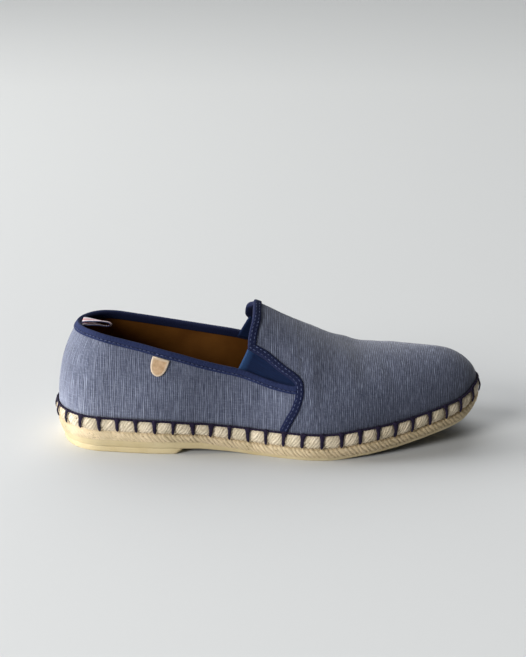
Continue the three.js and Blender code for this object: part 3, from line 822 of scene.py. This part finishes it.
def tape(name, turn, climb, run, floor, side, deep):
    """Tape along a path on the form, and that path with its direction away from the edge.

    The floor limits how deep the section goes, and deep sets the painted shade over the rest of the tape.
    """
    tangent = unit(smoothed(np.gradient(form(turn, climb), axis=0)))
    along, up = slopes(turn, climb)
    normal = unit(np.cross(along, up))
    down = unit(smoothed(side * unit(np.cross(normal, tangent))))
    rows = []
    for across, out in FOLD:
        distance = np.full(len(turn), across)
        if out < INNER_LEG:
            distance = np.where(floor > UNDER_WALL, np.minimum(distance, FOLD_WALL), distance)
        places = walk(turn, climb, down, distance)
        rows.append(form_at(*places, np.maximum(out, floor)))
    faces = tube_faces(len(turn), len(FOLD))
    if side < 0:
        faces = [face[::-1] for face in faces]
    piece = new_object(name, np.stack(rows, 1), faces, [TAPE])
    # Painted shade in the stitched groove and on the face towards the lining, and as much as deep gives
    # over the rest of the tape
    groove = [1.0 if out < INNER_LEG or abs(across - FOLD_LINE) < 0.2 and out > 0 else deep
              for across, out in FOLD]
    set_values(piece, down=np.tile([across for across, out in FOLD], len(turn)),
               run=np.repeat(run, len(FOLD)), groove=np.tile(groove, len(turn)))
    return piece, (turn, climb, down)


COLLAR_END = 163.8     # x where the collar's tape meets the seams
COLLAR_STEPS = 420
SEAM_STEPS = 40        # and as many along the notch
THROAT_STEPS = 59


def collar_path():
    """From the outer seam back round the heel to the inner seam."""
    ends = [find_side([COLLAR_END], [quarter_z(COLLAR_END, outer)], outer)[0][0] for outer in (1, 0)]
    turn = np.linspace(ends[0], ends[1], COLLAR_STEPS)
    outer = (turn > 0).astype(float)

    def above(climb):
        here = form(turn, climb)
        return here[:, 2] - quarter_z(here[:, 0], outer)

    return turn, solve(above, np.zeros(COLLAR_STEPS), np.full(COLLAR_STEPS, pi / 2))


def vamp_half(outer):
    """From the foot of a side seam to the middle of the throat, with 0 seam, 1 notch, 2 throat."""
    edge = vamp_edge(outer)
    nose = edge[0]
    down = np.linspace(0.93, 0.04, SEAM_STEPS)
    back = through(SEAM, 1)(down)
    seam_z = nose[1] - down * (nose[1] - rope_top(nose[0]))
    seam = np.stack([SEAM_AT - TAPE_WIDE / 2 - back * TAPE_WIDE, seam_z], -1)
    flank = join([seam, smooth_line(edge, SEAM_STEPS)])
    turn, climb = find_side(flank[:, 0], flank[:, 1], outer)
    throat = throat_edge(outer)
    climbs = np.linspace(climb[-1], pi / 2, THROAT_STEPS + 1)[1:]
    sign = 1.0 if outer else -1.0

    def ahead(angle):
        here = form(sign * angle, climbs)
        return here[:, 0] - throat(here[:, 2])

    angle = solve(ahead, np.full(THROAT_STEPS, 1.0), np.full(THROAT_STEPS, 2.0))
    kind = np.repeat([0.0, 1.0, 2.0], [SEAM_STEPS, SEAM_STEPS, THROAT_STEPS])
    return join([turn, sign * angle]), join([climb, climbs]), kind


NO_FLOOR = -9.0
SEAM_FLOOR = 0.22      # flat on the cloth
NOTCH_FLOOR = -1.75    # round the edge only


def collar_tape():
    turn, climb, run = spread(*collar_path())
    return tape("collar_tape", turn, climb, run, np.full(len(turn), NO_FLOOR), 1, 0.12)


def vamp_tape():
    """From the foot of the outer seam over the throat to the foot of the inner seam."""
    turn_a, climb_a, kind_a = vamp_half(1)
    turn_b, climb_b, kind_b = (values[::-1][1:] for values in vamp_half(0))
    rough_turn = join([turn_a, -turn_b])
    rough_climb = join([climb_a, pi - climb_b])
    turn, climb, run = spread(rough_turn, rough_climb)
    kind = np.interp(run, lengths(form(rough_turn, rough_climb)), join([kind_a, kind_b]))
    floor = np.where(kind < 0.9, SEAM_FLOOR, np.where(kind < 1.6, NOTCH_FLOOR, NO_FLOOR))
    return tape("vamp_tape", turn, climb, run, floor, -1, 0.8)


# Rows of stitches on the tapes, at their distances from the fold
INNER_ROW = 3.9
OUTER_ROW = 1.5
ROW_OUT = 1.12
ROW_PITCH = 3.0
STITCH_WIDE = 0.6
STITCH_SIDES = 6
# Share along a stitch, share of its thickness
STITCH = [(0.0, 0.25), (0.2, 0.9), (0.5, 1.0), (0.8, 0.9), (1.0, 0.25)]


def stitch_row(path, across, long, points, faces):
    """Adds small rounded stitches along a tape."""
    turn, climb, down = path
    places = walk(turn, climb, down, np.full(len(turn), across))
    line = form_at(*places, ROW_OUT)
    over = form_at(*places, ROW_OUT + 1.0) - line
    length = lengths(line)

    def at(distance, rows):
        return np.array([np.interp(distance, length, rows[:, i]) for i in range(3)])

    for k in range(1, int(length[-1] / ROW_PITCH)):
        middle = k * ROW_PITCH
        first, last = at(middle - long / 2, line), at(middle + long / 2, line)
        lift = at(middle, over)
        aside = unit(np.cross(unit(last - first), lift))
        faces.extend(tube_faces(len(STITCH), STITCH_SIDES, len(points)))
        for share, thick in STITCH:
            for a in range(STITCH_SIDES):
                angle = 2 * pi * a / STITCH_SIDES
                offset = aside * cos(angle) * 0.5 + lift * sin(angle) * 0.35
                points.append(first + (last - first) * share + offset * STITCH_WIDE * thick)


def make_stitches(collar, vamp):
    points, faces = [], []
    stitch_row(collar, INNER_ROW, 2.0, points, faces)
    for across in (OUTER_ROW, INNER_ROW):
        stitch_row(vamp, across, 1.9, points, faces)
    return new_object("tape_stitches", points, faces, [THREAD])


GORE_LONG = 36         # of the elastic's ribs, as its look reads them
GORE_RIBS = 18
GORE_ROWS = (30, 18)
GORE_GAP = 0.35
GORE_SAG = 0.4


def make_gore(name, outer):
    """Elastic behind the side notch; only the outer one has a painted highlight along its rear edge."""
    edge = vamp_edge(outer)[::-1]
    wide, high = GORE_ROWS
    a = np.linspace(0, 1, wide)
    rear = edge[0][0] - GORE_SLANT
    low_x = rear + (edge[-1][0] - rear) * a
    low = np.stack([low_x, quarter_z(low_x, outer) - GORE_TUCK], -1)
    t = lengths(edge)
    top = np.stack([np.interp(a * t[-1], t, edge[:, i]) for i in (0, 1)], -1)
    top = top + np.array([1.2, GORE_TUCK * 0.8])
    b = np.linspace(0, 1, high)[None, :, None]
    flat = low[:, None] * (1 - b) + top[:, None] * b
    turn, climb = find_side(flat[..., 0].ravel(), flat[..., 1].ravel(), outer)
    sag = np.repeat(GORE_SAG * np.sin(np.linspace(0, pi, wide)), high)
    front = form_at(turn, climb, -WALL - GORE_GAP - sag)
    back = form_at(turn, climb, -WALL - GORE_GAP - GORE_THICK * 0.9 - sag)
    faces = wall_faces(grid_faces(wide, high), wide * high)[0]
    if not outer:
        faces = [face[::-1] for face in faces]
    piece = new_object(name, join([front, back]), faces, [ELASTIC])
    run = np.repeat(np.linspace(0, GORE_LONG, wide), high)
    set_values(piece, down=both(np.tile(np.linspace(0, GORE_RIBS, high), wide)), run=both(run),
               rim=both((1 - run / GORE_LONG) * outer))
    return piece


# The sole, along the outline at equal steps
FINE = np.linspace(0, 2 * pi, 4001)
LENGTHS = lengths(outline(FINE))
ROUND = LENGTHS[-1]
STITCHES = round(ROUND / PITCH)
STEP = ROUND / STITCHES


def turn_at(length):
    return np.interp(np.mod(length, ROUND), LENGTHS, FINE)


def rake(x, z):
    rearness = np.maximum(0, 1 - x / HEEL_ROUND) ** 2
    return HEEL_RAKE * rearness * np.maximum(0, 1 - z / rope_top(x))


def sole_point(turn, out, z):
    x = outline(turn)[..., 0]
    place = outline_at(turn, out - rake(x, z))
    return np.stack([place[..., 0], place[..., 1], np.broadcast_to(z, place.shape[:-1])], -1)


def scatter(index, seed):
    """An even spread of numbers between 0 and 1 from whole ones."""
    value = np.sin(index * 12.9898 + seed * 78.233) * 43758.5453
    return value - np.floor(value)


def from_bar(length):
    """How far from the middle between two bars: 0 there, 1 at a bar."""
    return np.abs(2 * np.mod((length - BAR_SHIFT) / STEP, 1.0) - 1)


def heel_flush(x):
    """1 where rope and rubber meet flush at the heel, 0 in front of it."""
    return grow(x, 85, 65)


def flat_ends(along, columns):
    """Faces from side to side that close a ring of columns at its first and its last row."""
    faces = []
    for i in range(along // 2):
        quad = (i, i + 1, (along - i - 1) % along, (along - i) % along)
        for column, step in ((0, -1), (columns - 1, 1)):
            face = list(dict.fromkeys(k * columns + column for k in quad))
            if len(face) > 2:
                faces.append(tuple(face[::step]))
    return faces


BRAID_ROUND = 1500
BRAID_HIGH = 48
BRAID_START = -0.04       # share of the rope's height above its top edge
COURSE_EDGE = 0.56        # where the upper course ends, in the same shares
UPPER_STRAND = 2.15       # pitch
UPPER_LEAN = 0.75         # mm along for each mm down
LOWER_STRAND = 3.1
LOWER_LEAN = 0.85
STRAND_DEEP = (0.55, 0.7)   # upper and lower course, like the next
STRAND_SHADE = (0.40, 0.36)
STRAND_SPREAD = 0.35
PILLOW_PROUD = 0.25
PILLOW_ARCH = 0.9
BAR_SQUEEZE = 1.1
SEAM_DEEP = 0.35
INNER_EDGE = -6.0         # where the flat top and underside begin, from the outline


def make_jute():
    """Upper course of pillows between the bars, lower course of slanting strands."""
    length = np.arange(BRAID_ROUND) / BRAID_ROUND * ROUND
    s, v = np.meshgrid(length, np.linspace(BRAID_START, 1.0, BRAID_HIGH), indexing="ij")
    turn = turn_at(s)
    x = outline(turn)[..., 0]
    high = rope_top(x) - rubber_top(x) - 0.05
    share = np.clip(v, 0, 1)
    depth = v * high
    pillow = 1 - from_bar(s) ** 2.6
    upper = grow(v, COURSE_EDGE, COURSE_EDGE - 0.06)
    in_upper = upper > 0.5

    wobble = 0.35 * np.sin(s * 0.9) + 0.25 * np.sin(s * 0.37 + 1.3)
    slant_up = (s + depth * UPPER_LEAN + wobble) / UPPER_STRAND
    slant_down = (s - depth * LOWER_LEAN - wobble) / LOWER_STRAND
    phase = np.where(in_upper, slant_up, slant_down)
    strand = np.abs(np.sin(pi * phase)) ** 0.55
    # The lower course is smoother at the heel
    calm = np.clip((x - 20) / 60, 0.25, 1)
    relief = np.where(in_upper, *STRAND_DEEP) * (strand - 1)
    relief = relief + STRAND_SPREAD * (scatter(np.floor(phase), 1.0) - 0.5)
    relief = relief * np.where(in_upper, 1.0, calm) * grow(v, 1.0, 0.92)
    relief = relief * grow(v, BRAID_START, 0.04)
    seam = np.exp(-((v - 0.555 - 0.035 * np.sin(2 * pi * slant_down)) / 0.030) ** 2)

    profile = braid_out(share)
    lowest = grow(share, 0.7, 0.8)
    profile = profile + heel_flush(x) * lowest * np.maximum(FLUSH - profile, 0)
    out = profile * BRAID_PROUD + relief - upper * (1 - pillow) * BAR_SQUEEZE - SEAM_DEEP * seam * calm
    out = out + PILLOW_PROUD * upper * pillow
    arch = PILLOW_ARCH * pillow * grow(v, 0.25, 0)
    z = rope_top(x) - share * high + np.minimum(arch - 0.35, 0.25)
    z[:, -1] = rubber_top(x[:, -1]) + 0.05
    ring = sole_point(turn, out, z)

    # Painted shade between the strands, in the seam between the courses, beside the bars, at the heel end
    # and towards the toe
    crevice = np.clip((1 - strand) * 1.25, 0, 1) * np.where(in_upper, STRAND_SHADE[0], STRAND_SHADE[1] * calm)
    crevice = crevice + 0.6 * seam * calm
    crevice = crevice + 0.5 * upper * (1 - pillow) ** 2 + 0.38 * grow(x, 14, 0)
    crevice = crevice + 0.24 * grow(x, 160, 220)

    # Flat top and underside inside the braided wall
    inner_top = sole_point(turn[:, 0], INNER_EDGE, rope_top(x[:, 0]) - 0.2)
    inner_low = sole_point(turn[:, 0], INNER_EDGE, rubber_top(x[:, 0]) + GAP)
    points = join([inner_top[:, None], ring, inner_low[:, None]], 1)
    columns = BRAID_HIGH + 2
    faces = [face[::-1] for face in grid_faces(BRAID_ROUND, columns, True)]
    faces += flat_ends(BRAID_ROUND, columns)
    piece = new_object("jute_braid", points, faces, [JUTE])
    fibres = depth * 1.4 + s * np.where(in_upper, -0.3, 0.3)

    def columned(values):
        return join([values[:, :1], values, values[:, -1:]], 1)

    set_values(piece, across=columned(phase * 2.3), lengthwise=columned(fibres),
               crevice=columned(np.clip(crevice, 0, 1)), course=columned(1 - upper))
    return piece


# Outsole's side: share of its height from the top, share of BRAID_PROUD
RUBBER_SIDE = [(0.00, 0.38), (0.20, 0.36), (0.54, 0.28), (0.84, 0.14), (1.00, -0.02)]
RUBBER_ROUND = 560
RUBBER_HIGH = 30
BLOCK_ROUND = 121
# The heel block's levels: how far out of the outsole's foot, height
BLOCK = [(-0.55, 0.0), (-0.15, 0.25), (0.0, 0.9), (0.0, 1.8), (0.0, 3.0), (0.0, HEEL_LIFT * 0.93)]


# Painted shade at the heel end of the rubber, gone 15 mm forwards
def heel_painted_shade(x):
    return 0.5 * grow(x, 15, 0)


def heel_block(start):
    """Heel block, from the floor up: the outline as far as the sloping breast."""
    edge = RUBBER_SIDE[-1][1] * BRAID_PROUD
    span = np.linspace(-1, 1, BLOCK_ROUND)
    rings = []
    for inset, z in BLOCK:
        reach = BREAST_AT + BREAST_SLOPE * z / HEEL_LIFT
        turn = span * acos(1 - 2 * reach / FOOT)
        rings.append(sole_point(turn, edge + inset - 0.1, np.full(BLOCK_ROUND, z)))
    depth = len(BLOCK)
    last = start + (BLOCK_ROUND - 1) * depth
    faces = grid_faces(BLOCK_ROUND, depth, False, False, start)
    faces.append(tuple(range(start, start + depth)) + tuple(reversed(range(last, last + depth))))
    faces.append(tuple(start + i * depth for i in range(BLOCK_ROUND))[::-1])
    faces.append(tuple(start + i * depth + depth - 1 for i in range(BLOCK_ROUND)))
    return np.stack(rings, 1).reshape(-1, 3), faces


def make_outsole():
    turn = turn_at(np.arange(RUBBER_ROUND) / RUBBER_ROUND * ROUND)
    x = outline(turn)[:, 0]
    side = through(RUBBER_SIDE, 1)
    rings = []
    grooves = []
    for share in np.linspace(0, 1, RUBBER_HIGH):
        z = rubber_top(x) - share * (rubber_top(x) - underside(x))
        proud = side(share) + heel_flush(x) * (FLUSH - side(0)) * max(0.0, 1 - share / 0.8)
        rings.append(sole_point(turn, proud * BRAID_PROUD, z))
        # A faint darker line round the middle of the side, painted shade at the heel end, and painted shade
        # growing from x 110 to 160 towards the toe
        line = 0.15 * exp(-((share - 0.45) / 0.05) ** 2)
        grooves.append(line + heel_painted_shade(x) + 0.25 * grow(x, 110, 160))
    faces = [face[::-1] for face in grid_faces(RUBBER_ROUND, RUBBER_HIGH, True)]
    faces += flat_ends(RUBBER_ROUND, RUBBER_HIGH)
    block, block_faces = heel_block(RUBBER_ROUND * RUBBER_HIGH)
    points = join([np.stack(rings, 1).reshape(-1, 3), block])
    piece = new_object("outsole_rubber", points, faces + block_faces, [RUBBER_LOOK])
    set_values(piece, groove=join([np.stack(grooves, 1).ravel(), heel_painted_shade(block[:, 0])]))
    return piece


YARN_ROUND = 900
YARN_SIDES = 8
# A bar's sections: share of the rope's height below its top, share of the bar's width
BAR_SECTIONS = [
    (-0.13, 1.2), (-0.07, 2.0), (0.0, 1.65), (0.08, 1.3), (0.17, 1.12),
    (0.27, 1.06), (0.37, 1.05), (0.46, 0.98), (0.52, 0.72), (0.56, 0.25),
]
BAR_LONG = 0.54
BAR_THICK = 1.1


def yarn_ring():
    """Yarn round the foot of the canvas, drawn down a little at each bar."""
    s = np.arange(YARN_ROUND) / YARN_ROUND * ROUND
    turn = turn_at(s)
    x = outline(turn)[:, 0]
    middle = rope_top(x) + GAP + YARN * 0.34 - 0.5 * from_bar(s) ** 6
    radius = YARN / 2 * (0.80 + 0.12 * np.sin(s * 2.4))
    threads = []
    for k in range(YARN_SIDES):
        angle = 2 * pi * k / YARN_SIDES
        z = middle + radius * sin(angle) * 0.9
        place = outline_at(turn, GAP + YARN * 0.36 + radius * cos(angle))
        threads.append(np.stack([place[:, 0], place[:, 1], z], -1))
    return np.stack(threads, 1).reshape(-1, 3)


def yarn_bar(k):
    """One upright bar over the upper course."""
    lean = 1.3 * (scatter(k, 3.0) - 0.5)
    long = 0.53 + 0.07 * (scatter(k, 5.0) - 0.5)
    wide = YARN * (1.08 + 0.25 * (scatter(k, 7.0) - 0.5))
    points = []
    for share, width in BAR_SECTIONS:
        station = share * long / BAR_LONG
        middle = (k + 1) * STEP + BAR_SHIFT + lean * station / 0.5
        x = float(outline(turn_at(middle))[0])
        z = rope_top(x) - station * ROPE * rope_share(x / FOOT)
        base = float(bar_out(station)) * BRAID_PROUD + GAP + 0.25
        for a in range(YARN_SIDES):
            angle = 2 * pi * a / YARN_SIDES
            spot = turn_at(middle + cos(angle) * wide / 2 * width)
            out = base + sin(angle) * BAR_THICK / 2 * min(1, width)
            points.append(sole_point(spot, out, np.float64(z)))
    return points


def make_yarn():
    """Yarn round the foot of the canvas, with a bar over each step of the braid."""
    points = [yarn_ring()]
    faces = tube_faces(YARN_ROUND, YARN_SIDES, 0, True)
    start = len(points[0])
    for k in range(STITCHES):
        bar = yarn_bar(k)
        points.append(np.array(bar))
        faces += [face[::-1] for face in tube_faces(len(BAR_SECTIONS), YARN_SIDES, start)]
        start += len(bar)
    return new_object("stitch_yarn", join(points), faces, [YARN_LOOK])


# The tag's layers, from the canvas out: size as a share, distance out of the form
TAG_LAYERS = [(0.0, 0.42), (1.0, 0.40), (1.03, 0.75), (1.0, 1.05), (0.95, 1.2), (0.84, 1.15), (0.0, 1.15)]


def make_tag(path):
    """Bare leather tag under the collar's tape on the outer side."""
    path_turn, path_climb, path_down = path
    line = form(path_turn, path_climb)
    i = int(np.argmin(np.where(path_turn > 0, np.abs(line[:, 0] - TAG_AT), np.inf)))
    along = unit(line[i - 1] - line[i + 1])
    shape = np.array(TAG) * [TAG_WIDE, TAG_LONG]
    shape[:, 1] += TAPE_WIDE + 2 * GAP
    middle = shape.mean(0)
    layers = []
    rims = []
    for size, out in TAG_LAYERS:
        flat = middle + (shape - middle) * max(size, 0.02)
        heading = along * flat[:, :1] + path_down[i] * flat[:, 1:]
        turn = np.full(len(flat), path_turn[i])
        climb = np.full(len(flat), path_climb[i])
        places = walk(turn, climb, unit(heading), size_of(heading), 6)
        layers.append(form_at(*places, out))
        rims.append(np.full(len(flat), size if out > 0.5 else 1.0))
    piece = new_object("leather_tag", layers, tube_faces(len(TAG_LAYERS), len(TAG)), [TAG_LOOK])
    set_values(piece, rim=rims)
    return piece


# The loop's middle line in the side view: x, height from LOOP_TOP
LOOP_TOP = HEEL_HEIGHT + 0.3
LOOP = [
    (15.9, -9.0), (16.2, -6.5), (16.9, -4.3), (18.4, -3.0), (21.0, -2.9),
    (26.0, -3.4), (31.5, -4.3), (35.5, -4.9), (37.3, -4.4), (37.2, -3.0),
    (35.4, -2.1), (31.0, -1.4), (26.0, -0.8), (21.5, -0.4), (18.6, -0.5),
]
LOOP_STEPS = 60
LOOP_ACROSS = 13
LOOP_THICK = 0.76


def make_loop():
    """Striped tape folded at the back and fallen forward into the shoe."""
    line = smooth_line(np.array(LOOP) + [0, LOOP_TOP], LOOP_STEPS, False)
    tangent = unit(np.gradient(line, axis=0))
    side = np.stack([-tangent[:, 1], tangent[:, 0]], -1)
    across = np.linspace(-1, 1, LOOP_ACROSS)
    round_tape = [(-1, y) for y in across] + [(1, y) for y in across[::-1]]
    rows = []
    for sign, y in round_tape:
        spot = line + side * sign * LOOP_THICK / 2 * (1 - 0.5 * abs(y) ** 6)
        # The inner edge droops towards the fold
        droop = -(0.35 * y * y + 1.9 * y) * grow(line[:, 0], 19, 31)
        place_y = np.full(LOOP_STEPS, y * LOOP_WIDE / 2 - GAP)
        rows.append(np.stack([spot[:, 0], place_y, spot[:, 1] + droop], -1))
    faces = tube_faces(LOOP_STEPS, len(rows))
    piece = new_object("loop_tape", np.stack(rows, 1), faces, [STRIPES])
    set_values(piece, across_tape=np.tile([(y + 1) / 2 for sign, y in round_tape], LOOP_STEPS))
    return piece


def settle(piece, node):
    """The detailed piece takes the place of a solid."""
    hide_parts(node)
    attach(piece, "root")


settle(make_upper(), "upper")
collar, collar_line = collar_tape()
settle(collar, "collar_binding")
vamp, vamp_line = vamp_tape()
settle(vamp, "vamp_binding")
thread = make_stitches(collar_line, vamp_line)
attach(thread, "root")
settle(make_gore("elastic_outer", 1), "gore_lateral")
settle(make_gore("elastic_inner", 0), "gore_medial")
settle(make_jute(), "jute_sole")
settle(make_outsole(), "outsole")
settle(make_yarn(), "blanket_stitch")
settle(make_tag(collar_line), "side_tag")
settle(make_loop(), "pull_loop")

for piece in list(bpy.data.objects):
    if piece.type == "MESH" and piece.name.startswith("insole"):
        piece.data.materials.clear()
        piece.data.materials.append(SOCK)


# Floor, light and camera
# Painted shade on the floor near the shoe, painted light far behind it
FLOOR_PAINTED_SHADE = (0.665, 0.675, 0.675)
FLOOR_PAINTED_LIGHT = (0.80, 0.81, 0.80)
FLOOR_CORNERS = [(-12, -4, 0), (12, -4, 0), (12, 20, 0), (-12, 20, 0)]


def make_floor():
    """Pale floor with painted shade near the shoe and painted light far behind it."""
    mesh = bpy.data.meshes.new("floor")
    mesh.from_pydata(FLOOR_CORNERS, [], [(0, 1, 2, 3)])
    look = Look("floor", 0.9)
    away = look.node("SeparateXYZ", {0: look.place()}).outputs["Y"]
    share = look.math("MULTIPLY", away, 0.5)
    look.colour(look.ramp(share, (0.06, FLOOR_PAINTED_SHADE), (0.80, FLOOR_PAINTED_LIGHT)))
    mesh.materials.append(look.material)
    return add("floor", mesh)


make_floor()


def add_light(name, kind, place, target, power, colour):
    """A light that points at a target; its data is returned for what its kind needs."""
    data = bpy.data.lights.new(name, kind)
    data.energy = power
    data.color = colour
    light = add(name, data)
    light.location = place
    direction = Vector(target) - light.location
    light.rotation_euler = direction.to_track_quat("-Z", "Y").to_euler()
    return data


# Two large soft windows to the left, and soft light from behind
SHOE_MIDDLE = (0, 0, 0.03)
WINDOW_SIZE = 1.6
for name, place, power, colour in (
    ("window", (-3.6, 0.2, 1.0), 150.0, (1.0, 1.0, 1.0)),
    ("screen", (-2.6, -2.4, 1.6), 104.0, (1.0, 0.99, 0.97)),
):
    window = add_light(name, "AREA", place, SHOE_MIDDLE, power, colour)
    window.shape = "DISK"
    window.size = WINDOW_SIZE
back_light = add_light("back_light", "SUN", (-0.28, 0.8, 0.75), (0, 0, 0), 2.05, (0.98, 0.99, 1.0))
back_light.angle = radians(70)

world = bpy.data.worlds.new("room")
bpy.context.scene.world = world
world.use_nodes = True
room = world.node_tree.nodes["Background"]
room.inputs["Color"].default_value = (0.90, 0.95, 1.0, 1)
room.inputs["Strength"].default_value = 0.06

# The photograph's view: focal length in pixels of a picture this high, place in the scene's millimetres
FOCAL_PIXELS = 1300
PICTURE_HIGH = 657
SENSOR = 36
TILT = radians(19)
CAMERA_AT = (141.0, -838.0, 364.0)
camera_data = bpy.data.cameras.new("camera")
camera_data.sensor_width = SENSOR
camera_data.lens = FOCAL_PIXELS * SENSOR / PICTURE_HIGH
camera_data.clip_start = 0.05
camera = add("camera", camera_data)
camera.location = ((np.array(CAMERA_AT) + SHIFT) * MM).tolist()
camera.rotation_euler = (pi / 2 - TILT, 0, 0)
bpy.context.scene.camera = camera
bpy.context.scene.view_settings.view_transform = "Standard"
